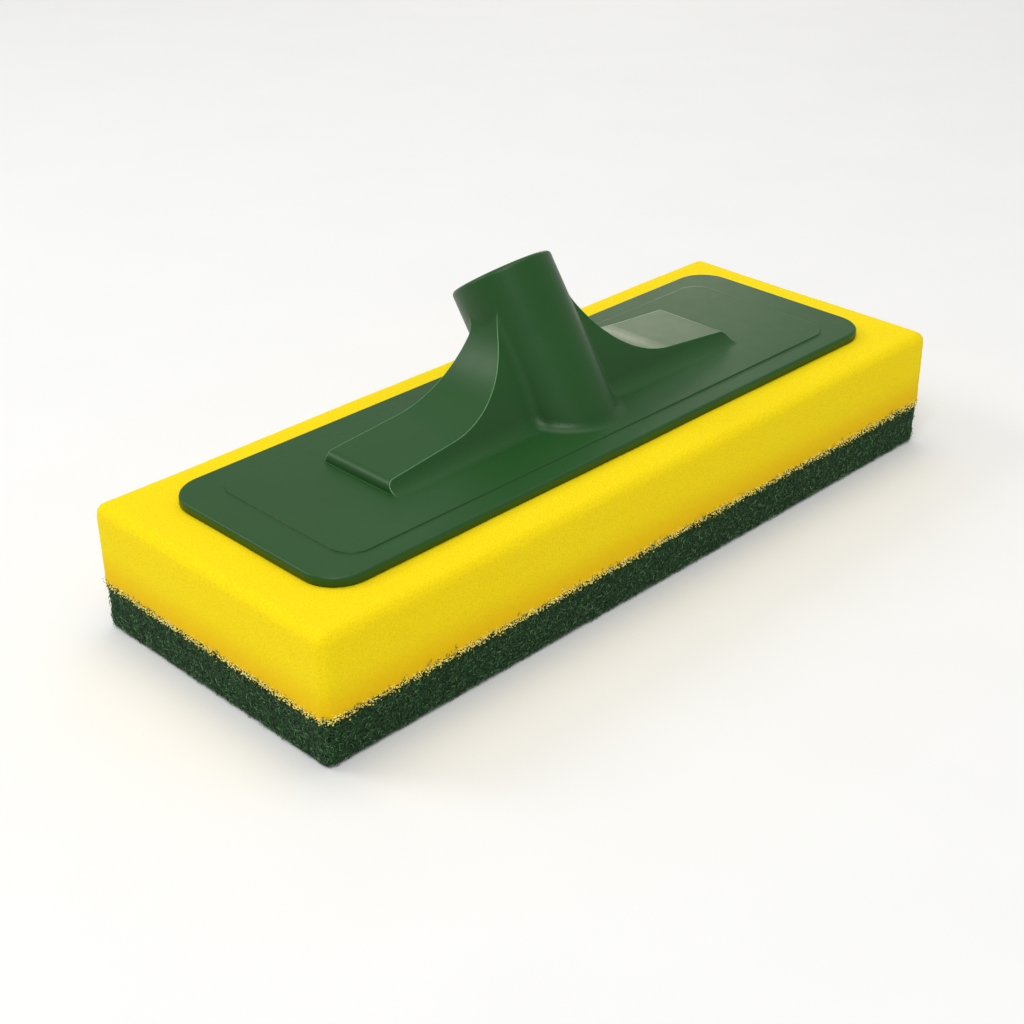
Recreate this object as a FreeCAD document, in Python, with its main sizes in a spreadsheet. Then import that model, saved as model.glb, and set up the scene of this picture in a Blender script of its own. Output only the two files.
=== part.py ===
import FreeCAD, Part
import math
import os
import Sketcher

# Grout float for a pole: a foam block with a scouring pad under it, carried by
# one moulded backplate with two raised arms and a leaning pole socket.
#
# Frame: millimetres, +Z up. The origin is the middle of the pad's working
# face. +X runs along the block, and +Y is the way in which the socket leans.

SIZES = (
    # alias, value, what it is
    ("block_length", 280.0, "foam block and pad along X"),
    ("block_width", 106.0, "foam block and pad along Y"),
    ("block_corner", 2.5, "corner radius of foam and pad seen from above"),
    ("pad_thickness", 16.0, "scouring pad"),
    ("foam_thickness", 26.6, "foam block"),
    ("glue_thickness", 0.4, "each layer of glue"),
    ("glue_margin", 2.0, "bare edge left round each layer of glue"),
    ("plate_end_margin", 16.0, "bare foam beyond each end of the backplate"),
    ("plate_side_margin", 14.0, "bare foam beyond each long side of the plate"),
    ("plate_thickness", 2.8, "backplate at its rim"),
    ("plate_corner", 12.0, "corner radius of the plate seen from above"),
    ("plate_edge_round", 1.0, "rounded upper edge of the plate"),
    ("panel_rise", 0.3, "height of the raised middle panel over the rim"),
    ("panel_end_margin", 13.0, "from the plate's end to the panel"),
    ("panel_side_margin", 8.0, "from the plate's long side to the panel"),
    ("panel_corner", 8.0, "corner radius of the panel"),
    ("socket_lean", 34.4, "angle of the socket from upright, degrees"),
    ("socket_foot", -5.2, "Y where the socket's axis meets the plate's top"),
    ("socket_reach", 47.3, "from the plate's top to the rim, on the axis"),
    ("pole_diameter", 28.0, "pole that the socket takes"),
    ("pole_clearance", 0.25, "gap all round the pole"),
    ("socket_wall", 3.0, "wall round the bore"),
    ("bore_floor_rise", 0.45, "lowest point of the bore over the plate's top"),
    ("lead_in", 1.0, "chamfer at the mouth of the bore"),
    ("rim_round", 1.5, "rounded outer edge of the rim"),
    ("arm_reach", 78.5, "from the middle to the end of each arm"),
    ("arm_front", 13.0, "from the middle to the front foot of an arm"),
    ("arm_back", 18.5, "from the middle to the back foot of an arm"),
    ("arm_back_draft", 5.0, "lean of an arm's back wall, degrees"),
    ("arm_front_curve", 170.0, "radius of an arm's front wall"),
    ("arm_end_rise", 3.3, "height of the arm's end over the panel"),
    ("arm_end_round", 3.1, "rounding at the top of the arm's end"),
    ("arm_slope", 5.0, "fall of the arm's long stretch, degrees"),
    ("saddle_radius", 40.0, "hollow curve where the arm climbs the socket"),
    ("saddle_bite", 4.0, "how far the hollow curve ends inside the socket"),
    ("front_bite", 1.6, "the same for the arms' front wall"),
    ("arm_top_drop", 3.0, "from the rim down to the buried top of the arms"),
    ("front_blend", 7.0, "fillet along the front foot of the arms"),
    ("back_blend", 1.0, "fillet along the back foot of the arms"),
    ("socket_blend", 4.0, "fillet where the socket rises from arms and plate"),
    ("moulding_wall", 3.0, "wall over the hollows inside the moulding"),
    ("rib_thickness", 2.0, "rib between two hollows"),
)

# Two places closer than this are the same place.
FIT = 0.02

# Heights and radii that follow from the sizes, each written once.
PAD_TOP = "Sizes.pad_thickness"
FOAM_BOTTOM = f"({PAD_TOP} + Sizes.glue_thickness)"
FOAM_TOP = f"({FOAM_BOTTOM} + Sizes.foam_thickness)"
PLATE_BOTTOM = f"({FOAM_TOP} + Sizes.glue_thickness)"
PLATE_TOP = f"({PLATE_BOTTOM} + Sizes.plate_thickness)"
PANEL_TOP = f"({PLATE_TOP} + Sizes.panel_rise)"
BORE_RADIUS = "(Sizes.pole_diameter / 2 + Sizes.pole_clearance)"
SOCKET_RADIUS = f"({BORE_RADIUS} + Sizes.socket_wall)"
PLATE_LENGTH = "(Sizes.block_length - 2 * Sizes.plate_end_margin)"
PLATE_WIDTH = "(Sizes.block_width - 2 * Sizes.plate_side_margin)"
BORE_FLOOR = (f"((Sizes.bore_floor_rise + {BORE_RADIUS} * sin(Sizes.socket_lean))"
              " / cos(Sizes.socket_lean))")
SOCKET_DEPTH = f"(Sizes.socket_reach - {BORE_FLOOR})"

# Half the gap between the saddles' inner ends, and how far in front of the
# socket's axis the arms' front wall runs.
SADDLE_INSIDE = f"({SOCKET_RADIUS} - Sizes.saddle_bite)"
SIDE_GAP = f"sqrt({SOCKET_RADIUS} ^ 2 - ({SOCKET_RADIUS} - Sizes.front_bite) ^ 2)"

# Centre of the saddle's hollow curve, out from the middle and up.
SADDLE_OUT = f"({SADDLE_INSIDE} + Sizes.saddle_radius)"
SADDLE_UP = (f"({PANEL_TOP} + Sizes.arm_end_rise"
             f" + (Sizes.arm_reach - {SADDLE_OUT}) * tan(Sizes.arm_slope)"
             f" + Sizes.saddle_radius / cos(Sizes.arm_slope))")

doc = FreeCAD.newDocument("grout_float")
sheet = doc.addObject("Spreadsheet::Sheet", "Sizes")
for row, (alias, value, meaning) in enumerate(SIZES, start=1):
    sheet.set(f"A{row}", meaning)
    sheet.set(f"B{row}", str(value))
    sheet.setAlias(f"B{row}", alias)
doc.recompute()


def size(expression):
    """The number that an expression on the sheet's cells gives now."""
    return float(sheet.evalExpression(expression))


def new_body(name):
    body = doc.addObject("PartDesign::Body", name)
    body.Label = name
    return body


def new_sketch(body, name, role, height=None):
    """A sketch on one of the body's own origin planes, lifted by height."""
    sketch = body.newObject("Sketcher::SketchObject", name)
    plane = next(item for item in body.Origin.OriginFeatures if item.Role == role)
    sketch.AttachmentSupport = [(plane, "")]
    sketch.MapMode = "FlatFace"
    if height:
        sketch.setExpression("AttachmentOffset.Base.z", height)
    return sketch


def bind(sketch, constraint, expression):
    """Add a constraint whose value follows an expression."""
    index = sketch.addConstraint(constraint)
    sketch.setExpression(f"Constraints[{index}]", expression)


def pin(sketch, edge, end, across, up):
    """Hold one end of an edge at a place given by two expressions."""
    for kind, expression in (("DistanceX", across), ("DistanceY", up)):
        constraint = Sketcher.Constraint(kind, -1, 1, edge, end, size(expression))
        bind(sketch, constraint, expression)


def draw_polygon(sketch, corners):
    """A closed outline of straight edges through corners."""
    points = [FreeCAD.Vector(size(across), size(up)) for across, up in corners]
    count = len(points)
    for index, point in enumerate(points):
        sketch.addGeometry(Part.LineSegment(point, points[(index + 1) % count]))
    for index, (across, up) in enumerate(corners):
        join = Sketcher.Constraint("Coincident", index, 2, (index + 1) % count, 1)
        sketch.addConstraint(join)
        pin(sketch, index, 1, across, up)


def draw_rounded_rectangle(sketch, length, width, radius):
    """A rectangle about the sketch's origin, with four round corners."""
    half_x = size(length) / 2
    half_y = size(width) / 2
    bend = size(radius)
    quarters = ((1, 1), (-1, 1), (-1, -1), (1, -1))
    for index, (side_x, side_y) in enumerate(quarters):
        centre = FreeCAD.Vector(side_x * (half_x - bend), side_y * (half_y - bend))
        circle = Part.Circle(centre, FreeCAD.Vector(0, 0, 1), bend)
        start = math.radians(90 * index)
        sketch.addGeometry(Part.ArcOfCircle(circle, start, start + math.pi / 2))
    for index in range(4):
        start = sketch.getPoint(index, 2)
        end = sketch.getPoint((index + 1) % 4, 1)
        sketch.addGeometry(Part.LineSegment(start, end))
    for index in range(4):
        line = 4 + index
        after = (index + 1) % 4
        direction = "Horizontal" if index % 2 == 0 else "Vertical"
        sketch.addConstraint(Sketcher.Constraint("Tangent", index, 2, line, 1))
        sketch.addConstraint(Sketcher.Constraint("Tangent", line, 2, after, 1))
        sketch.addConstraint(Sketcher.Constraint(direction, line))
    for index in range(1, 4):
        sketch.addConstraint(Sketcher.Constraint("Equal", 0, index))
    sketch.addConstraint(Sketcher.Constraint("Symmetric", 0, 3, 2, 3, -1, 1))
    bind(sketch, Sketcher.Constraint("Radius", 0, bend), radius)
    reach_x = Sketcher.Constraint("DistanceX", -1, 1, 0, 1, half_x)
    reach_y = Sketcher.Constraint("DistanceY", -1, 1, 0, 2, half_y)
    bind(sketch, reach_x, f"{length} / 2")
    bind(sketch, reach_y, f"{width} / 2")


def add_pad(body, sketch, length, both_sides=False):
    pad = body.newObject("PartDesign::Pad", f"{sketch.Name}_pad")
    pad.Profile = sketch
    pad.setExpression("Length", length)
    pad.Midplane = both_sides
    return pad


def add_slab(name, length, width, corner, bottom, thickness):
    """A body that is one flat layer with round corners."""
    body = new_body(name)
    sketch = new_sketch(body, f"{name}_outline", "XY_Plane", bottom)
    draw_rounded_rectangle(sketch, f"({length})", f"({width})", corner)
    add_pad(body, sketch, thickness)
    return body


def socket_point(depth, radius):
    """Place in the YZ plane, a depth from the rim along the socket's axis and
    a radius from the axis, towards +Y."""
    along = f"(Sizes.socket_reach - ({depth}))"
    across = (f"Sizes.socket_foot + {along} * sin(Sizes.socket_lean)"
              f" + ({radius}) * cos(Sizes.socket_lean)")
    up = (f"{PLATE_TOP} + {along} * cos(Sizes.socket_lean)"
          f" - ({radius}) * sin(Sizes.socket_lean)")
    return across, up


def add_turned(body, kind, name, corners):
    """A revolved feature about the socket's axis. Each corner is a depth from
    the rim and a radius, and the first two lie on the axis."""
    sketch = new_sketch(body, name, "YZ_Plane")
    draw_polygon(sketch, [socket_point(depth, radius) for depth, radius in corners])
    feature = body.newObject(f"PartDesign::{kind}", f"{name}_turned")
    feature.Profile = sketch
    feature.ReferenceAxis = (sketch, ["Edge1"])
    feature.Angle = 360
    return feature


def add_socket_tube(body):
    """The socket's outside, cut off level with the underside of the plate."""
    buried = "Sizes.socket_reach + 2 * Sizes.pole_diameter"
    add_turned(body, "Revolution", "socket_tube", (
        (buried, "0"),
        ("0", "0"),
        ("0", SOCKET_RADIUS),
        (buried, SOCKET_RADIUS),
    ))
    trim = new_sketch(body, "socket_trim", "XY_Plane", PLATE_BOTTOM)
    draw_rounded_rectangle(trim, "Sizes.block_length", "2 * Sizes.block_width", "Sizes.plate_corner")
    doc.recompute()
    add_pocket(body, trim, "4 * Sizes.pole_diameter")


def add_pocket(body, sketch, length, both_sides=False, reverse=False):
    """A pocket, refused if it removes nothing."""
    doc.recompute()
    before = body.Shape.Volume
    pocket = body.newObject("PartDesign::Pocket", f"{sketch.Name}_pocket")
    pocket.Profile = sketch
    pocket.setExpression("Length", length)
    pocket.Midplane = both_sides
    pocket.Reversed = reverse
    doc.recompute()
    if body.Shape.Volume > before - 1:
        raise RuntimeError(f"{pocket.Name} cuts nothing")
    return pocket


def add_plate(body):
    """The flat plate and its slightly raised middle panel."""
    rim = new_sketch(body, "plate_rim", "XY_Plane", PLATE_BOTTOM)
    draw_rounded_rectangle(rim, PLATE_LENGTH, PLATE_WIDTH, "Sizes.plate_corner")
    add_pad(body, rim, "Sizes.plate_thickness")
    panel = new_sketch(body, "plate_panel", "XY_Plane", PLATE_BOTTOM)
    length = f"({PLATE_LENGTH} - 2 * Sizes.panel_end_margin)"
    width = f"({PLATE_WIDTH} - 2 * Sizes.panel_side_margin)"
    draw_rounded_rectangle(panel, length, width, "Sizes.panel_corner")
    add_pad(body, panel, f"{PANEL_TOP} - {PLATE_BOTTOM}")


def add_arm_ridge(body):
    """Both arms as one ridge along X. Seen from the end, its front wall is an
    arc that leans back until it runs along the side of the socket."""
    lean = math.radians(size("Sizes.socket_lean"))
    curve = size("Sizes.arm_front_curve")
    foot = FreeCAD.Vector(-size("Sizes.arm_front"), size(PLATE_BOTTOM))
    upward = FreeCAD.Vector(math.sin(lean), math.cos(lean))
    ahead = FreeCAD.Vector(-math.cos(lean), math.sin(lean))
    side_top = socket_point("Sizes.arm_top_drop", f"-{SIDE_GAP}")
    back_height = socket_point("Sizes.arm_top_drop", "0")[1]
    back_rise = f"({back_height} - {PLATE_BOTTOM})"
    back_top = (f"Sizes.arm_back - {back_rise} * tan(Sizes.arm_back_draft)", back_height)
    side_top_point = FreeCAD.Vector(size(side_top[0]), size(side_top[1]))
    gap = side_top_point - ahead * curve - foot
    climb = -gap.dot(upward) + math.sqrt(gap.dot(upward) ** 2 - gap.dot(gap) + curve ** 2)
    centre = foot + gap + upward * climb
    join = centre + ahead * curve
    sketch = new_sketch(body, "arm_ridge", "YZ_Plane")
    circle = Part.Circle(centre, FreeCAD.Vector(0, 0, 1), curve)
    start = math.atan2(join.y - centre.y, join.x - centre.x)
    end = math.atan2(foot.y - centre.y, foot.x - centre.x)
    sketch.addGeometry(Part.ArcOfCircle(circle, start, end % (2 * math.pi)))
    corners = (
        join,
        side_top_point,
        FreeCAD.Vector(size(back_top[0]), size(back_top[1])),
        FreeCAD.Vector(size("Sizes.arm_back"), foot.y),
        foot,
    )
    for corner, after in zip(corners, corners[1:]):
        sketch.addGeometry(Part.LineSegment(corner, after))
    for edge in range(1, 4):
        sketch.addConstraint(Sketcher.Constraint("Coincident", edge, 2, edge + 1, 1))
    sketch.addConstraint(Sketcher.Constraint("Coincident", 4, 2, 0, 2))
    sketch.addConstraint(Sketcher.Constraint("Tangent", 0, 1, 1, 1))
    pin(sketch, 0, 2, "-Sizes.arm_front", PLATE_BOTTOM)
    pin(sketch, 2, 1, side_top[0], side_top[1])
    pin(sketch, 3, 1, back_top[0], back_top[1])
    pin(sketch, 4, 1, "Sizes.arm_back", PLATE_BOTTOM)
    bind(sketch, Sketcher.Constraint("Radius", 0, curve), "Sizes.arm_front_curve")
    bind(sketch, Sketcher.Constraint("Angle", 1, math.pi / 2 - lean), "90 - Sizes.socket_lean")
    add_pad(body, sketch, "2 * Sizes.arm_reach", both_sides=True)


def cut_saddle(body):
    """Shape the top of the ridge: on each side a rounded end, a long gentle
    slope and a hollow curve that climbs into the side of the socket."""
    slope = math.radians(size("Sizes.arm_slope"))
    bend = size("Sizes.arm_end_round")
    hollow = size("Sizes.saddle_radius")
    reach = size("Sizes.arm_reach")
    end_height = f"{PANEL_TOP} + Sizes.arm_end_rise"
    sky = f"({SADDLE_UP} + Sizes.socket_reach)"
    facing = FreeCAD.Vector(math.sin(slope), math.cos(slope))
    end_corner = FreeCAD.Vector(reach, size(end_height))
    end_centre = end_corner + FreeCAD.Vector(-bend, bend * math.tan(slope) - bend / math.cos(slope))
    hollow_centre = FreeCAD.Vector(size(SADDLE_OUT), size(SADDLE_UP))
    end_low = end_centre + FreeCAD.Vector(bend, 0)
    end_high = end_centre + facing * bend
    hollow_low = hollow_centre - facing * hollow
    hollow_high = hollow_centre - FreeCAD.Vector(hollow, 0)
    out_top = FreeCAD.Vector(reach, size(sky))
    in_top = FreeCAD.Vector(hollow_high.x, size(sky))
    upright = FreeCAD.Vector(0, 0, 1)
    sketch = new_sketch(body, "saddle", "XZ_Plane")
    sketch.addGeometry(Part.LineSegment(out_top, end_low))
    sketch.addGeometry(Part.ArcOfCircle(Part.Circle(end_centre, upright, bend), 0, math.pi / 2 - slope))
    sketch.addGeometry(Part.LineSegment(end_high, hollow_low))
    circle = Part.Circle(hollow_centre, upright, hollow)
    sketch.addGeometry(Part.ArcOfCircle(circle, math.pi, 3 * math.pi / 2 - slope))
    sketch.addGeometry(Part.LineSegment(hollow_high, in_top))
    sketch.addGeometry(Part.LineSegment(in_top, out_top))
    point = sketch.addGeometry(Part.Point(end_corner), True)
    joints = ((0, 2, 1, 1), (1, 2, 2, 1), (2, 2, 3, 2), (3, 1, 4, 1))
    for joint in joints:
        sketch.addConstraint(Sketcher.Constraint("Tangent", *joint))
    sketch.addConstraint(Sketcher.Constraint("Coincident", 4, 2, 5, 1))
    sketch.addConstraint(Sketcher.Constraint("Coincident", 5, 2, 0, 1))
    sketch.addConstraint(Sketcher.Constraint("Vertical", 0))
    sketch.addConstraint(Sketcher.Constraint("Vertical", 4))
    sketch.addConstraint(Sketcher.Constraint("Horizontal", 5))
    sketch.addConstraint(Sketcher.Constraint("PointOnObject", point, 1, 2))
    pin(sketch, point, 1, "Sizes.arm_reach", end_height)
    bind(sketch, Sketcher.Constraint("DistanceX", -1, 1, 0, 1, reach), "Sizes.arm_reach")
    bind(sketch, Sketcher.Constraint("DistanceY", -1, 1, 0, 1, size(sky)), sky)
    bind(sketch, Sketcher.Constraint("Radius", 1, bend), "Sizes.arm_end_round")
    bind(sketch, Sketcher.Constraint("Radius", 3, hollow), "Sizes.saddle_radius")
    bind(sketch, Sketcher.Constraint("DistanceX", -1, 1, 4, 1, hollow_high.x), SADDLE_INSIDE)
    bind(sketch, Sketcher.Constraint("Angle", 2, math.pi - slope), "180 - Sizes.arm_slope")
    pocket = add_pocket(body, sketch, "4 * Sizes.block_width", both_sides=True)
    mirrored = body.newObject("PartDesign::Mirrored", "saddle_mirrored")
    mirrored.Originals = [pocket]
    mirrored.MirrorPlane = (sketch, ["V_Axis"])
    body.Tip = mirrored
    doc.recompute()


def axis_distance(point):
    """How far a point in space is from the socket's axis."""
    lean = math.radians(size("Sizes.socket_lean"))
    foot = FreeCAD.Vector(0, size("Sizes.socket_foot"), size(PLATE_TOP))
    axis = FreeCAD.Vector(0, math.sin(lean), math.cos(lean))
    return (point - foot).cross(axis).Length


def edge_names(body, chosen):
    """Names of the body's edges of which every sampled point is chosen."""
    names = []
    for number, edge in enumerate(body.Shape.Edges, start=1):
        if all(chosen(point) for point in edge.discretize(7)):
            names.append(f"Edge{number}")
    return names


def add_fillet(body, name, names, radius):
    base = body.Tip
    fillet = body.newObject("PartDesign::Fillet", name)
    fillet.Base = (base, names)
    fillet.setExpression("Radius", radius)
    doc.recompute()
    return fillet


def blend_feet(body):
    """Fillets along the arms' two long feet, before the arms get their shape."""
    level = size(PANEL_TOP)
    length = 2 * size("Sizes.arm_reach")
    for name, side in (("front", -1), ("back", 1)):
        doc.recompute()
        flat = edge_names(body, lambda point: abs(point.z - level) < FIT and side * point.y > 0)
        feet = [foot for foot in flat if abs(body.Shape.getElement(foot).Length - length) < FIT]
        add_fillet(body, f"{name}_foot_fillet", feet, f"Sizes.{name}_blend")


def blend_socket(body):
    """Fillets all round the socket where it meets the arms and the plate."""
    doc.recompute()
    radius = size(SOCKET_RADIUS)
    on_socket = edge_names(body, lambda point: abs(axis_distance(point) - radius) < FIT)
    valleys = []
    for name in on_socket:
        edge = body.Shape.getElement(name)
        seam = all(abs(point.x) < FIT for point in edge.discretize(7))
        if not edge.isClosed() and not seam:
            valleys.append(name)
    add_fillet(body, "socket_fillet", valleys, "Sizes.socket_blend")


def round_outer_edges(body):
    """Soften the rim of the socket and the upper edge of the plate."""
    radius = size(SOCKET_RADIUS)
    on_socket = edge_names(body, lambda point: abs(axis_distance(point) - radius) < FIT)
    rim = [name for name in on_socket if body.Shape.getElement(name).isClosed()]
    add_fillet(body, "rim_fillet", rim, "Sizes.rim_round")
    level = size(PLATE_TOP)
    outside = size(PLATE_WIDTH) / 2 - size("Sizes.panel_side_margin") / 2
    far_out = size(PLATE_LENGTH) / 2 - size("Sizes.panel_end_margin") / 2
    upper = edge_names(body, lambda point: abs(point.z - level) < FIT
                       and (abs(point.y) > outside or abs(point.x) > far_out))
    add_fillet(body, "plate_fillet", upper, "Sizes.plate_edge_round")


def bore_socket(body):
    """The blind bore for the pole, with a chamfer at its mouth, and a core
    under its floor that keeps the moulding's wall even."""
    wide = f"{BORE_RADIUS} + Sizes.lead_in"
    floor = SOCKET_DEPTH
    add_turned(body, "Groove", "pole_bore", (
        (floor, "0"),
        ("-Sizes.lead_in", "0"),
        ("-Sizes.lead_in", f"{wide} + Sizes.lead_in"),
        ("Sizes.lead_in", BORE_RADIUS),
        (floor, BORE_RADIUS),
    ))
    roof = f"({floor} + Sizes.moulding_wall)"
    add_turned(body, "Groove", "foot_core", (
        ("3 * Sizes.socket_reach", "0"),
        (roof, "0"),
        (roof, BORE_RADIUS),
        ("3 * Sizes.socket_reach", BORE_RADIUS),
    ))


def hollow_arms(body):
    """Three hollows under each arm, with ribs between them. Each one's roof
    follows the arm's slope at its outer end."""
    wall = "Sizes.moulding_wall"
    front = f"(-Sizes.arm_front + 2 * {wall})"
    back = f"(Sizes.arm_back - 1.5 * {wall})"
    inner = f"({SOCKET_RADIUS} + 2 * {wall})"
    outer = f"(Sizes.arm_reach - {wall})"
    bay = f"(({outer} - {inner} + Sizes.rib_thickness) / 3)"
    for number in range(3):
        start = f"({inner} + {number} * {bay})"
        end = f"({start} + {bay} - Sizes.rib_thickness)"
        roof = (f"{PANEL_TOP} - {PLATE_BOTTOM} + Sizes.arm_end_rise - {wall}"
                f" + (Sizes.arm_reach - {end}) * tan(Sizes.arm_slope)")
        for side, sign in (("right", ""), ("left", "-")):
            sketch = new_sketch(body, f"{side}_hollow_{number + 1}", "XY_Plane", PLATE_BOTTOM)
            draw_polygon(sketch, (
                (f"{sign}{start}", front),
                (f"{sign}{end}", front),
                (f"{sign}{end}", back),
                (f"{sign}{start}", back),
            ))
            add_pocket(body, sketch, roof, reverse=True)


def add_backplate():
    """Plate, arms and pole socket: one moulding."""
    body = new_body("backplate")
    add_plate(body)
    add_arm_ridge(body)
    blend_feet(body)
    cut_saddle(body)
    add_socket_tube(body)
    blend_socket(body)
    round_outer_edges(body)
    bore_socket(body)
    hollow_arms(body)
    return body


def add_layers():
    """The bonded stack under the backplate, from the bottom up."""
    margin = "2 * Sizes.glue_margin"
    glue = "Sizes.glue_thickness"
    block = ("Sizes.block_length", "Sizes.block_width", "Sizes.block_corner")
    under_foam = (
        f"{block[0]} - {margin}",
        f"{block[1]} - {margin}",
        "Sizes.block_corner",
    )
    under_plate = (
        f"{PLATE_LENGTH} - {margin}",
        f"{PLATE_WIDTH} - {margin}",
        "(Sizes.plate_corner - Sizes.glue_margin)",
    )
    return [
        add_slab("scouring_pad", *block, None, "Sizes.pad_thickness"),
        add_slab("pad_glue", *under_foam, PAD_TOP, glue),
        add_slab("foam_block", *block, FOAM_BOTTOM, "Sizes.foam_thickness"),
        add_slab("plate_glue", *under_plate, FOAM_TOP, glue),
    ]


def check_document():
    for item in doc.Objects:
        if "Invalid" in item.State or "Error" in item.State:
            raise RuntimeError(f"{item.Name} failed: {item.State}")


def write_parts(parts):
    for part in parts:
        shape = part.Shape
        if shape.isNull() or not shape.isValid() or len(shape.Solids) != 1:
            raise RuntimeError(f"{part.Label} is not one valid solid")
    os.makedirs("parts", exist_ok=True)
    for part in parts:
        part.Shape.exportStep(f"parts/{part.Label}.step")
        print(part.Label, round(part.Shape.Volume), "mm3")


parts = add_layers() + [add_backplate()]
doc.recompute()
check_document()
write_parts(parts)
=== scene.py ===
# %% [markdown]
# # A grout float for a pole, from CAD model to picture
#
# The float is a hand tool that floor layers push over fresh grout. A green
# moulded backplate takes a pole in its leaning socket, a block of yellow foam
# is glued under the plate, and a dark green scouring pad is glued under the
# foam. The CAD model already holds the true sizes. This lesson loads it, keeps
# the hard moulding as it is, and makes the soft layers again with the texture
# that foam and scouring fibre really have.

# %% Load the CAD model
import math

import bpy
import numpy as np
from mathutils import Matrix, Vector


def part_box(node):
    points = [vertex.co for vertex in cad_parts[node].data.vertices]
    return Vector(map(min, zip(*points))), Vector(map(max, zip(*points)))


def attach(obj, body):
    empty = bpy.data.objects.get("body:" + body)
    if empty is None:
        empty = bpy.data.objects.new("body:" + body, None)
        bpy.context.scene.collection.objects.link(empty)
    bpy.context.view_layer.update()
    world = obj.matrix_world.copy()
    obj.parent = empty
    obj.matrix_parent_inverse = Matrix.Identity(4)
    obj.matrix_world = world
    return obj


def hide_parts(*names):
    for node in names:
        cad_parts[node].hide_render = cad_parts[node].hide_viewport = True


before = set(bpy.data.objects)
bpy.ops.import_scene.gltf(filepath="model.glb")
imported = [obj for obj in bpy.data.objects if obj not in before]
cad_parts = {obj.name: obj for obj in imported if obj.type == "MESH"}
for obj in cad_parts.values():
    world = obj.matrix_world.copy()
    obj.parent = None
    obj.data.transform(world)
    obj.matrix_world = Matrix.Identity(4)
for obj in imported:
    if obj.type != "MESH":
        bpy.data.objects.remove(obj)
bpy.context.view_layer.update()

MM = 0.001
pad_low, pad_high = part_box("scouring_pad")
foam_low, foam_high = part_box("foam_block")
plate_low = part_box("backplate")[0]
print("CAD nodes:", sorted(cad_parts))

# %% [markdown]
# ## Small helpers for modelling
#
# Blender's operators work on whatever is selected, and loading the CAD model
# leaves its pieces selected. So every new piece starts by clearing the
# selection. Edges are picked by where they are, never by their number, because
# numbers change when a mesh changes.

# %% Helpers for modelling
def deselect_all():
    """Leave edit mode and clear the selection."""
    active = bpy.context.view_layer.objects.active
    if active and active.mode != "OBJECT":
        bpy.ops.object.mode_set(mode="OBJECT")
    bpy.ops.object.select_all(action="DESELECT")


def add_block(name, low, high):
    """A box between two corners, with its place in its mesh."""
    deselect_all()
    middle = (low + high) / 2
    bpy.ops.mesh.primitive_cube_add(size=1, location=middle, scale=high - low)
    bpy.ops.object.transform_apply(location=True, rotation=True, scale=True)
    block = bpy.context.object
    block.name = name
    block.data.name = name
    return block


def select_edges(piece, wanted):
    """Select the edges for which wanted(direction, middle) is true, in edit mode."""
    bpy.ops.object.mode_set(mode="EDIT")
    bpy.ops.mesh.select_mode(type="EDGE")
    bpy.ops.mesh.select_all(action="DESELECT")
    bpy.ops.object.mode_set(mode="OBJECT")
    points = piece.data.vertices
    for edge in piece.data.edges:
        start, end = (points[index].co for index in edge.vertices)
        edge.select = wanted((end - start).normalized(), (start + end) / 2)
    bpy.ops.object.mode_set(mode="EDIT")


def round_edges(piece, wanted, radius, steps):
    """Bevel the wanted edges to a round of that radius."""
    select_edges(piece, wanted)
    bpy.ops.mesh.bevel(offset=radius, segments=steps, affect="EDGES")
    bpy.ops.object.mode_set(mode="OBJECT")


def apply_modifier(piece, name, kind, **settings):
    """Add a modifier, set it up and apply it."""
    bpy.context.view_layer.objects.active = piece
    modifier = piece.modifiers.new(name, kind)
    for key, value in settings.items():
        setattr(modifier, key, value)
    bpy.ops.object.modifier_apply(modifier=name)


def count_triangles(piece):
    """How many triangles a piece's mesh has."""
    piece.data.calc_loop_triangles()
    return len(piece.data.loop_triangles)


# %% [markdown]
# ## Sums on sockets
#
# A procedural finish is arithmetic on numbers that change over a surface.
# Written node by node it's hard to follow, so this small class wraps a socket
# and adds a Math node for each plus, minus or times. The reflected forms make
# `1 - mask` work too.

# %% A number that varies over a surface
class Amount:
    """One socket's number, with ordinary sums."""

    def __init__(self, finish, socket):
        self.finish = finish
        self.socket = socket

    def sum(self, operation, first, second):
        """Add one Math node and return what comes out of it."""
        settings = {"operation": operation}
        return self.finish.node("ShaderNodeMath", settings, {0: first, 1: second})

    def __add__(self, other):
        return self.sum("ADD", self, other)

    def __sub__(self, other):
        return self.sum("SUBTRACT", self, other)

    def __rsub__(self, other):
        return self.sum("SUBTRACT", other, self)

    def __mul__(self, other):
        return self.sum("MULTIPLY", self, other)

    __radd__ = __add__
    __rmul__ = __mul__


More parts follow.
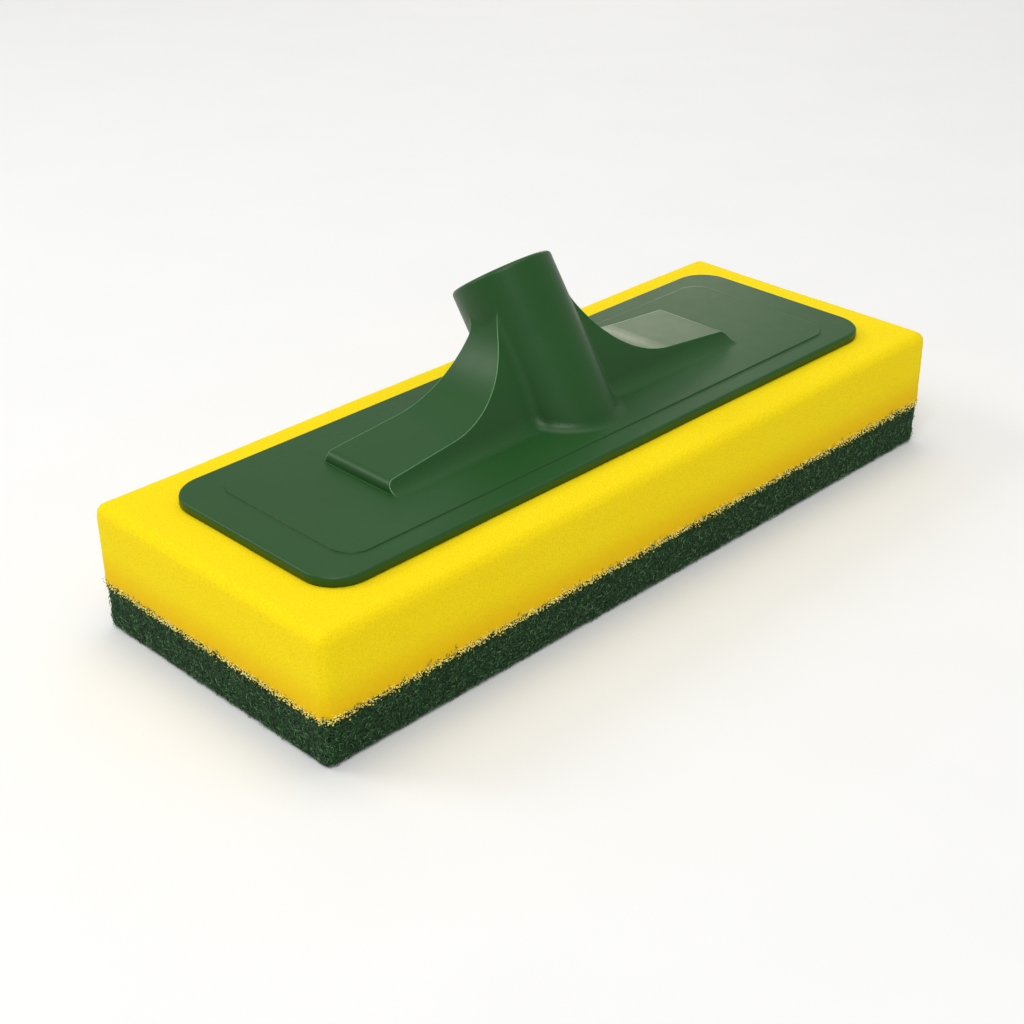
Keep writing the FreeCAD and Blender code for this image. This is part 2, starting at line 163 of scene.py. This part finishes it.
class Finish:
    """A material under construction, on one Principled shader."""

    def __init__(self, name):
        self.material = bpy.data.materials.new(name)
        self.material.use_nodes = True
        self.nodes = self.material.node_tree.nodes
        self.links = self.material.node_tree.links
        self.shader = self.nodes["Principled BSDF"]
        self.place = self.node("ShaderNodeTexCoord", output="Object")

    def node(self, kind, settings=None, inputs=None, output=0):
        """Add a node: its type, its settings, then what its sockets get."""
        node = self.nodes.new(kind)
        for key, value in (settings or {}).items():
            setattr(node, key, value)
        for key, value in (inputs or {}).items():
            self.feed(node.inputs[key], value)
        return Amount(self, node.outputs[output])

    def feed(self, socket, value):
        """Link a socket to an Amount, or set it to a plain value."""
        if isinstance(value, Amount):
            self.links.new(value.socket, socket)
        else:
            socket.default_value = value

    def noise(self, grain, detail):
        """Cloudy noise whose blobs measure about grain, in metres."""
        inputs = {"Vector": self.place, "Scale": 1 / grain, "Detail": detail}
        return self.node("ShaderNodeTexNoise", None, inputs)

    def cells(self, grain):
        """Distance from the middle of the nearest cell, in cells of that size."""
        inputs = {"Vector": self.place, "Scale": 1 / grain}
        return self.node("ShaderNodeTexVoronoi", None, inputs)

    def height(self):
        """Height above the floor in metres, from the third output, Z."""
        return self.node("ShaderNodeSeparateXYZ", None, {0: self.place}, output=2)

    def ramp(self, value, start, end):
        """0 below start, 1 above end, smooth between them."""
        settings = {"interpolation_type": "SMOOTHSTEP"}
        inputs = {"Value": value, "From Min": start, "From Max": end}
        return self.node("ShaderNodeMapRange", settings, inputs)

    def blend(self, share, first, second):
        """A colour between two colours, each a tuple or another blend. A Mix
        node's colours are its sockets 6 and 7, and come out of output 2."""
        settings = {"data_type": "RGBA"}
        inputs = {0: share, 6: first, 7: second}
        return self.node("ShaderNodeMix", settings, inputs, output=2)

    def bump(self, height, distance, strength=1.0, normal=None):
        """Relief, distance deep in metres, on a given normal or the surface's own."""
        inputs = {"Height": height, "Distance": distance, "Strength": strength}
        if normal:
            inputs["Normal"] = normal
        self.surface(Normal=self.node("ShaderNodeBump", None, inputs))

    def surface(self, **inputs):
        """Set the shader's own sockets. An underscore stands for a space."""
        for key, value in inputs.items():
            self.feed(self.shader.inputs[key.replace("_", " ")], value)


def rgb(red, green, blue):
    """A colour given as a screen shows it, 0 to 255, made linear."""
    def linear(channel):
        share = channel / 255
        return share / 12.92 if share <= 0.04045 else ((share + 0.055) / 1.055) ** 2.4
    return (linear(red), linear(green), linear(blue), 1.0)


def dress(piece, finish):
    """Give a piece one finish all over."""
    piece.data.materials.clear()
    piece.data.materials.append(finish.material)


# %% [markdown]
# ## The camera and the room
#
# The camera looks down on the near left corner of the block. It's set by the
# way an easel is: a point to look at, a direction and a distance. The room is
# one pale floor, a pale sky that fills in the shadows, and large soft lights.

# %% Camera
AIM = Vector((-7.1, 9.8, 3.7)) * MM
CAMERA_DISTANCE = 0.600     # metres
CAMERA_YAW = math.radians(-44.7)
CAMERA_PITCH = math.radians(29.24)
CAMERA_ROLL = math.radians(-0.44)
LENS = 62.4                 # focal length in mm
CLIP_START = 0.01           # metres: nothing closer to the camera is drawn

back = Vector((
    math.sin(CAMERA_YAW) * math.cos(CAMERA_PITCH),
    -math.cos(CAMERA_YAW) * math.cos(CAMERA_PITCH),
    math.sin(CAMERA_PITCH),
))
camera_data = bpy.data.cameras.new("camera")
camera_data.lens = LENS
camera_data.clip_start = CLIP_START
camera = bpy.data.objects.new("camera", camera_data)
bpy.context.scene.collection.objects.link(camera)
camera.location = AIM + back * CAMERA_DISTANCE
facing = (-back).to_track_quat("-Z", "Y").to_matrix()
camera.rotation_euler = (facing @ Matrix.Rotation(CAMERA_ROLL, 3, "Z")).to_euler()
bpy.context.scene.camera = camera
print("Camera at", [round(value, 3) for value in camera.location])


# %% Floor, sky and lights
def add_light(name, place, size, power, colour=(1, 1, 1)):
    """A square softbox aimed at the foam's top: size in metres, power in watts."""
    data = bpy.data.lights.new(name, "AREA")
    data.shape = "SQUARE"
    data.size = size
    data.energy = power
    data.color = colour
    light = bpy.data.objects.new(name, data)
    bpy.context.scene.collection.objects.link(light)
    light.location = place
    aim = Vector((0, 0, foam_high.z)) - light.location
    light.rotation_euler = aim.to_track_quat("-Z", "Y").to_euler()


FLOOR_SIZE = 12         # metres
SKY_STRENGTH = 0.52
WARM = (1.0, 0.95, 0.78)

deselect_all()
bpy.ops.mesh.primitive_plane_add(size=FLOOR_SIZE, location=(0, 0, pad_low.z))
floor = bpy.context.object
floor.name = "floor"

world = bpy.data.worlds.new("sky")
world.use_nodes = True
sky = world.node_tree.nodes["Background"].inputs
sky["Color"].default_value = (1, 1, 1, 1)
sky["Strength"].default_value = SKY_STRENGTH
bpy.context.scene.world = world
bpy.context.scene.view_settings.view_transform = "Standard"

add_light("key", (-0.75, -0.55, 1.5), size=0.7, power=9.5)
add_light("top", (0.2, 0.3, 1.7), size=1.0, power=6)
add_light("low_behind", (1.15, 0.95, 0.22), size=0.3, power=1.3, colour=WARM)
add_light("left_behind", (-0.75, 1.0, 0.95), size=0.5, power=4)
print("Lights:", [light.name for light in bpy.data.lights])

# %% [markdown]
# ## The finish of the moulding
#
# Each finish is a short recipe: a base colour that wanders a little, a
# roughness, and a fine bump at the scale of the real surface.
#
# The plate, the arms and the socket are one moulding in satin green plastic.
# Its edges are slightly round, and a pale green is painted on them as a
# highlight. They could be beveled in the mesh, but the wall at the ends of the
# arms is too thin for that and folds over. So a Bevel node rounds them in the
# shading. It turns the surface's normal near an edge, and how far it turns also
# says where the edges are. The plate's own rim is left out of the painted
# highlight by its height.

# %% Finish of the moulding
PLATE_TO_PANEL = 3.1 * MM       # from under the plate to the top of its raised panel
PANEL_CLEAR = 1.0 * MM          # the painted edge highlight fades in over this height above the panel
EDGE_ROUND = 0.45 * MM
EDGE_SAMPLES = 8
EDGE_TURN = (0.01, 0.09)        # 1 minus the cosine of the turn: no painted highlight, full painted highlight
HAZE_SPAN = (0.3, 0.7)          # the part of the noise that is stretched to 0 to 1
SATIN = 0.37                    # roughness
SATIN_DRIFT = 0.03              # how much rougher the haze makes it
DEEP_GREEN = rgb(24, 72, 22)
FRESH_GREEN = rgb(31, 82, 29)
# the colour of the highlight painted on the edges
PAINTED_HIGHLIGHT_GREEN = rgb(122, 184, 122)

panel_top = plate_low.z + PLATE_TO_PANEL


def plastic_finish():
    """Satin green plastic with slightly rounded edges and a painted highlight on them."""
    finish = Finish("green_plastic")
    flow = finish.noise(30 * MM, detail=3)
    haze = finish.noise(6 * MM, detail=4)
    grain = finish.noise(0.35 * MM, detail=1)
    rounded = finish.node("ShaderNodeBevel", {"samples": EDGE_SAMPLES}, {"Radius": EDGE_ROUND})
    flat = finish.node("ShaderNodeNewGeometry", output="Normal")
    settings = {"operation": "DOT_PRODUCT"}
    inputs = {0: rounded, 1: flat}
    facing = finish.node("ShaderNodeVectorMath", settings, inputs, output="Value")
    over_panel = finish.ramp(finish.height(), panel_top, panel_top + PANEL_CLEAR)
    # where the highlight is painted: on the edges, above the panel
    edge = finish.ramp(1 - facing, *EDGE_TURN) * over_panel
    colour = finish.blend(flow, DEEP_GREEN, FRESH_GREEN)
    finish.surface(
        Base_Color=finish.blend(edge, colour, PAINTED_HIGHLIGHT_GREEN),
        Roughness=finish.ramp(haze, *HAZE_SPAN) * SATIN_DRIFT + SATIN,
        Specular_IOR_Level=0.35,
    )
    finish.bump(grain, distance=0.02 * MM, strength=0.5, normal=rounded)
    return finish


# %% [markdown]
# ## The finish of the foam
#
# The real foam is a bright yellow sponge with open cells smaller than a
# millimetre. Here its colour is a little warmer and darker towards its foot.
# Holes that small would cost millions of faces. A cell pattern shows them for
# nothing: it darkens the colour as painted shade in the holes and drives the
# bump, and the mesh only needs the larger waves.

# %% Finish of the foam
# A share says how strongly a colour or a bump shows, from 0 to 1.
PORE_SIZE = 0.7 * MM
PORE_SPAN = (0.10, 0.40)        # from a pore's middle to its rim, in pores
# how strongly the painted shade in the pores shows
PORE_SHADE_SHARE = 0.3
PORE_DEPTH_SHARE = 0.5
# the colour turns warmer and darker over this height above the foot of the foam
LOWER_TINT_HEIGHT = 14 * MM
LOWER_TINT_SHARE = 0.85
GRAIN_SPAN = (0.38, 0.62)
GRAIN_SHARE = 0.4
FOAM_YELLOW = rgb(255, 226, 2)
PALE_FOAM_YELLOW = rgb(254, 232, 14)
# the warmer, darker colour towards the foot of the foam
LOWER_TINT_YELLOW = rgb(242, 190, 0)
GRAIN_YELLOW = rgb(240, 198, 2)
# the colour of the painted shade in the pores
PAINTED_PORE_SHADE = rgb(222, 176, 2)


def foam_finish():
    """Open-cell yellow foam: bright skin, fine grain, tiny pores with painted
    shade and a foot that is warmer and darker."""
    finish = Finish("yellow_foam")
    broad = finish.noise(30 * MM, detail=2)
    grain = finish.noise(0.5 * MM, detail=3)
    pores = 1 - finish.ramp(finish.cells(PORE_SIZE), *PORE_SPAN)
    # warmer and darker towards the foot of the foam
    lower_tint = 1 - finish.ramp(finish.height(), foam_low.z, foam_low.z + LOWER_TINT_HEIGHT)
    bright = finish.blend(broad, FOAM_YELLOW, PALE_FOAM_YELLOW)
    warm = finish.blend(lower_tint * LOWER_TINT_SHARE, bright, LOWER_TINT_YELLOW)
    speckle = finish.ramp(grain, *GRAIN_SPAN) * GRAIN_SHARE
    speckled = finish.blend(speckle, warm, GRAIN_YELLOW)
    finish.surface(
        # the pores darken the colour: painted shade in the holes
        Base_Color=finish.blend(pores * PORE_SHADE_SHARE, speckled, PAINTED_PORE_SHADE),
        Roughness=0.9,
        Specular_IOR_Level=0.2,
    )
    finish.bump(grain - pores * PORE_DEPTH_SHARE, distance=0.2 * MM, strength=0.4)
    return finish


# %% [markdown]
# ## The finishes of the scouring pad
# The pad is made of resin-coated fibres, no two quite the same green. One
# colour over thousands of strands would look like a lawn, and a material for
# each strand would be absurd. So each strand carries one number, its tone, as
# an attribute of its mesh, and one material reads it. Between the strands one
# sees the depth of the pad. It has a finish of its own, partly the pad's dark
# green and partly painted shade.

# %% Finishes of the scouring pad
TONE_SHARE = 0.8
SPECK_SHARE = 0.2
CLUMP_SPAN = (0.35, 0.65)
# the painted shade of the pad's depth between its fibres
PAD_SHADOW = rgb(8, 22, 9)
PAD_GREEN = rgb(34, 74, 36)


def fibre_finish(name, dark, light):
    """Resin-coated fibre, between two colours by its tone and a fine speck."""
    finish = Finish(name)
    tone = finish.node("ShaderNodeAttribute", {"attribute_name": "tone"}, output="Fac")
    speck = finish.noise(0.8 * MM, detail=2)
    finish.surface(
        Base_Color=finish.blend(tone * TONE_SHARE + speck * SPECK_SHARE, dark, light),
        Roughness=0.55,
    )
    return finish


def pad_finish():
    """The depth of the pad between its outer fibres: dark green and painted shade."""
    finish = Finish("pad_body")
    clump = finish.noise(0.7 * MM, detail=3)
    finish.surface(
        Base_Color=finish.blend(finish.ramp(clump, *CLUMP_SPAN), PAD_SHADOW, PAD_GREEN),
        Roughness=0.85,
        Specular_IOR_Level=0.2,
    )
    finish.bump(clump, distance=0.6 * MM)
    return finish


# %% [markdown]
# ## The finishes of the glue and the floor
#
# Both are plain: a cloudy drift between two close colours is enough, because
# only the edges of the glue show and the floor has to stay in the background.

# %% Finishes of the glue and the floor
DRIED_GLUE = rgb(236, 230, 168)
YELLOWED_GLUE = rgb(214, 204, 120)
PAPER = rgb(244, 244, 243)
BRIGHT_PAPER = rgb(248, 248, 247)


def glue_finish():
    """Pale contact adhesive with slight yellowing."""
    finish = Finish("glue")
    cloud = finish.noise(4 * MM, detail=2)
    finish.surface(
        Base_Color=finish.blend(cloud, DRIED_GLUE, YELLOWED_GLUE),
        Roughness=0.6,
    )
    return finish


def floor_finish():
    """Pale matt paper."""
    finish = Finish("floor_paper")
    mottle = finish.noise(50 * MM, detail=2)
    finish.surface(
        Base_Color=finish.blend(mottle, PAPER, BRIGHT_PAPER),
        Roughness=0.85,
    )
    return finish


# %% Dress the floor and the pieces kept from the CAD model
dress(floor, floor_finish())
dress(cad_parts["backplate"], plastic_finish())
glue = glue_finish()
dress(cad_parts["plate_glue"], glue)
dress(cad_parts["pad_glue"], glue)
print("Glue nodes:", len(glue.nodes))

# %% [markdown]
# ## The foam block
#
# Foam is cut from a big bun with a hot wire, and its edges relax into soft
# rounds. A box with beveled edges has the outline. Remeshing it into small
# even squares then gives the Displace modifiers something to push: one wide,
# shallow wave for the cut and one fine one for the cells.

# %% Helpers for soft pieces
UPRIGHT = 0.9           # the Z of a direction that counts as upright
LEVEL = 0.1             # the Z of a direction that counts as level
HEIGHT_SLACK = 0.05 * MM


def upright(direction, middle):
    """True for an edge that stands upright."""
    return abs(direction.z) > UPRIGHT


def at_height(height):
    """A test for level edges at a height."""
    def wanted(direction, middle):
        return abs(direction.z) < LEVEL and abs(middle.z - height) < HEIGHT_SLACK
    return wanted


def roughen(piece, name, grain, depth, detail=2):
    """Push a surface in and out by cloudy noise: grain is the size of its blobs
    and depth how far apart its lowest and highest places are."""
    texture = bpy.data.textures.new(name, "CLOUDS")
    texture.noise_scale = grain
    texture.noise_depth = detail
    apply_modifier(
        piece, name, "DISPLACE",
        texture=texture, texture_coords="LOCAL", strength=depth, mid_level=0.5,
    )


# %% Model the foam block
FOAM_CORNER = 3.2 * MM
FOAM_TOP_ROUND = 3.6 * MM
FOAM_BOTTOM_ROUND = 0.4 * MM
FOAM_MESH = 1.1 * MM            # size of the even squares

foam = add_block("soft_foam_block", foam_low, foam_high)
round_edges(foam, upright, FOAM_CORNER, steps=5)
round_edges(foam, at_height(foam_high.z), FOAM_TOP_ROUND, steps=5)
round_edges(foam, at_height(foam_low.z), FOAM_BOTTOM_ROUND, steps=3)
apply_modifier(foam, "squares", "REMESH", mode="VOXEL", voxel_size=FOAM_MESH)
roughen(foam, "hot_wire_wave", grain=45 * MM, depth=0.5 * MM, detail=1)
roughen(foam, "cell_grain", grain=2.2 * MM, depth=0.22 * MM)
bpy.ops.object.shade_smooth()
dress(foam, foam_finish())
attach(foam, "root")
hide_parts("foam_block")
print("Foam triangles:", count_triangles(foam))

# %% [markdown]
# ## The scouring pad
#
# The pad is a mat of crimped nylon fibres, bonded at their crossings by a
# resin full of grit. Its body is a rough dark block. The light catches the
# loose loops on the outside of it, so those are modelled one by one: a few
# listed short bent strands are made and copied thousands of times.

# %% Model the body of the pad
PAD_CORNER = 3.0 * MM
PAD_EDGE_ROUND = 1.6 * MM
PAD_MESH = 1.0 * MM             # size of the even squares
FLUFF = 0.5 * MM                # room left outside the body for loose fibres

inset = Vector((FLUFF, FLUFF, FLUFF))
pad = add_block("fibrous_pad", pad_low + inset, pad_high - Vector((FLUFF, FLUFF, 0)))
round_edges(pad, upright, PAD_CORNER, steps=5)
round_edges(pad, at_height((pad_low + inset).z), PAD_EDGE_ROUND, steps=4)
apply_modifier(pad, "squares", "REMESH", mode="VOXEL", voxel_size=PAD_MESH)
roughen(pad, "clumps", grain=3.0 * MM, depth=0.7 * MM)
bpy.ops.object.shade_smooth()
dress(pad, pad_finish())
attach(pad, "root")
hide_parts("scouring_pad")
print("Pad triangles:", count_triangles(pad))


# %% Model the strands
STRAND_RADIUS = 0.10 * MM
STRAND_STEPS = 4
MERGE_DISTANCE = 0.01 * MM
STRANDS = (
    # bend radius in mm, length of the arc in degrees
    (0.7, 140),
    (1.2, 90),
    (0.5, 200),
    (1.7, 55),
)


def add_strand(bend, arc):
    """A three-sided strand spun into an arc in the XY plane, lying level."""
    deselect_all()
    bpy.ops.mesh.primitive_circle_add(
        vertices=3, radius=STRAND_RADIUS, fill_type="NGON",
        location=(bend, 0, 0), rotation=(math.pi / 2, 0, 0),
    )
    bpy.ops.object.transform_apply(location=True, rotation=True, scale=True)
    strand = bpy.context.object
    bpy.ops.object.mode_set(mode="EDIT")
    bpy.ops.mesh.select_all(action="SELECT")
    bpy.ops.mesh.spin(
        steps=STRAND_STEPS, angle=math.radians(arc), center=(0, 0, 0), axis=(0, 0, 1),
    )
    bpy.ops.mesh.select_all(action="SELECT")
    bpy.ops.mesh.remove_doubles(threshold=MERGE_DISTANCE)
    bpy.ops.mesh.normals_make_consistent(inside=False)
    bpy.ops.object.mode_set(mode="OBJECT")
    middle = Matrix.Rotation(-math.radians(arc) / 2, 4, "Z")
    strand.data.transform(Matrix.Translation((-bend, 0, 0)) @ middle)
    return strand


strands = [add_strand(bend * MM, arc) for bend, arc in STRANDS]
print("Strand faces:", [len(strand.data.polygons) for strand in strands])


# %% [markdown]
# ## Strands all over the pad
#
# A particle system could scatter the strands, but here each one needs its own
# tone and has to stay off the floor. So their corners are worked out with
# arrays of numbers. Each strand starts from the middle of a face of the pad,
# lies along it at a random turn, and leans out of it a little. One mesh holds
# all the strands of a side.

# %% Helpers for copying small shapes over a surface
def corners_of(piece):
    """The corners of a mesh as an array with one row for each."""
    flat = np.zeros(len(piece.data.vertices) * 3)
    piece.data.vertices.foreach_get("co", flat)
    return flat.reshape(-1, 3)


def turn_matrices(normals, rng, lean):
    """For each normal, three axes: two along the surface at a random turn,
    leaning out of it by up to lean radians, and one out of it."""
    is_upright = np.abs(normals[:, 2:3]) >= UPRIGHT
    helper = np.where(is_upright, [[1.0, 0.0, 0.0]], [[0.0, 0.0, 1.0]])
    along = np.cross(normals, helper)
    along /= np.linalg.norm(along, axis=1, keepdims=True)
    across = np.cross(normals, along)
    turn = rng.uniform(0, 2 * math.pi, len(normals))[:, None]
    first = along * np.cos(turn) + across * np.sin(turn)
    second = np.cross(normals, first)
    tip = rng.uniform(-lean, lean, len(normals))[:, None]
    second, third = (
        second * np.cos(tip) + normals * np.sin(tip),
        normals * np.cos(tip) - second * np.sin(tip),
    )
    return np.stack([first, second, third], axis=2)


def scatter(name, places, normals, shapes, rng, lean, scale_range):
    """One mesh of many small shapes, each with its own turn, size and tone. One
    that would dip into the floor is lifted on to it. Tones are squared, which
    leaves most of them dark and a few bright."""
    axes = turn_matrices(normals, rng, lean)
    scales = rng.uniform(*scale_range, len(places))
    kinds = rng.integers(0, len(shapes), len(places))
    tones = rng.random(len(places)) ** 2
    points, faces, tone_list = [], [], []
    offset = 0
    for place, axis, scale, kind, tone in zip(places, axes, scales, kinds, tones):
        shape = shapes[kind]
        corners = corners_of(shape) * scale @ axis.T + place
        corners[:, 2] += max(0, pad_low.z - corners[:, 2].min())
        points.append(corners)
        for face in shape.data.polygons:
            faces.append([index + offset for index in face.vertices])
        tone_list += [tone] * len(corners)
        offset += len(corners)
    mesh = bpy.data.meshes.new(name)
    mesh.from_pydata(np.concatenate(points).tolist(), [], faces)
    mesh.attributes.new("tone", "FLOAT", "POINT").data.foreach_set("value", tone_list)
    piece = bpy.data.objects.new(name, mesh)
    bpy.context.scene.collection.objects.link(piece)
    return piece


def surface_points(piece, wanted, count, rng):
    """Random face middles and normals of a piece, where wanted says so."""
    middles, normals = [], []
    for face in piece.data.polygons:
        if wanted(face.center, face.normal):
            middles.append(face.center[:])
            normals.append(face.normal[:])
    chosen = rng.integers(0, len(middles), count)
    return np.array(middles)[chosen], np.array(normals)[chosen]


LOOKING = 0.6           # cosine of the widest angle between a face's normal and a way


def looking(way):
    """A test for the faces that look that way."""
    def wanted(middle, normal):
        return normal.dot(way) > LOOKING
    return wanted


# %% Copy the strands over the pad
STRAND_LEAN = 0.35              # radians
STRAND_SIZES = (0.45, 0.9)      # of the strand as modelled
FIBRE_SHADOW = rgb(12, 40, 14)
FIBRE_GREEN = rgb(112, 164, 102)

rng = np.random.default_rng(7)
fibre = fibre_finish("scouring_fibre", FIBRE_SHADOW, FIBRE_GREEN)
SIDES = (
    # side, the way it looks, number of strands
    ("front", Vector((0, -1, 0)), 7000),
    ("back", Vector((0, 1, 0)), 7000),
    ("left", Vector((-1, 0, 0)), 2800),
    ("right", Vector((1, 0, 0)), 2800),
    ("under", Vector((0, 0, -1)), 7000),
)
for side, way, count in SIDES:
    name = f"pad_fibres_{side}"
    places, normals = surface_points(pad, looking(way), count, rng)
    fibres = scatter(name, places, normals, strands, rng, STRAND_LEAN, STRAND_SIZES)
    dress(fibres, fibre)
    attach(fibres, "root")
    print(side, "strands:", count, "triangles:", count_triangles(fibres))

# %% [markdown]
# ## The glue line
#
# Where foam and pad meet, the adhesive has soaked into both and dried pale.
# Crumbs of it and torn ends of fibre stand out along the line, which is what
# makes it look ragged. They could be painted on, but they catch the light and
# break the outline, so they are shapes. A crumb is a small ball knocked out of
# true. Crumbs and fibres are copied over the foot of the foam as the strands
# are over the pad, then slid along the surface so that no rows show.

# %% Fringe of the glue line
CRUMB_RADIUS = 0.26 * MM
CRUMB_KNOCK = 0.4               # of its radius
FOOT_HEIGHT = 3 * MM            # faces below this are the foot of the foam
SIDEWAYS = 0.5                  # the Z of a normal that still looks sideways
FRINGE_SPREAD = 0.7 * MM
FRINGE_LEAN = 0.8               # radians
FRINGE_SIZES = (0.4, 1.0)       # of the shape as modelled
GLUE_YELLOW = rgb(255, 222, 10)
GLUE_PALE = rgb(255, 253, 190)


def add_crumb(seed):
    """A ball of twenty faces knocked out of shape."""
    deselect_all()
    bpy.ops.mesh.primitive_ico_sphere_add(subdivisions=1, radius=CRUMB_RADIUS)
    crumb = bpy.context.object
    bpy.ops.object.mode_set(mode="EDIT")
    bpy.ops.mesh.select_all(action="SELECT")
    bpy.ops.transform.vertex_random(offset=CRUMB_RADIUS * CRUMB_KNOCK, seed=seed)
    bpy.ops.object.mode_set(mode="OBJECT")
    return crumb


def fringe_points(count, rise, rng):
    """Random places round the foot of the foam, about rise above it."""
    def near_foot(middle, normal):
        return middle.z < foam_low.z + FOOT_HEIGHT and abs(normal.z) < SIDEWAYS
    places, normals = surface_points(foam, near_foot, count, rng)
    along = np.stack([-normals[:, 1], normals[:, 0]], axis=1)
    places[:, :2] += along * rng.uniform(-FOAM_MESH, FOAM_MESH, (count, 1))
    places[:, 2] = foam_low.z + rise + rng.normal(0, FRINGE_SPREAD, count)
    return places, normals


crumbs = [add_crumb(seed) for seed in (1, 2, 3)]
crumb_finish = fibre_finish("glue_crumb", GLUE_YELLOW, GLUE_PALE)
FRINGES = (
    # name, slot, finish, shapes, count, middle above the foot of the foam
    ("glue_crumbs", "glue", crumb_finish, crumbs, 8500, -0.35 * MM),
    ("torn_fibres", "scouring_fibre", fibre, strands, 1500, 0.1 * MM),
)
for name, slot, finish, shapes, count, rise in FRINGES:
    places, normals = fringe_points(count, rise, rng)
    fringe = scatter(name, places, normals, shapes, rng, FRINGE_LEAN, FRINGE_SIZES)
    dress(fringe, finish)
    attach(fringe, "root")
    print(name, "triangles:", count_triangles(fringe))

# The shapes that were copied are no pieces of their own.
for shape in strands + crumbs:
    bpy.data.objects.remove(shape)
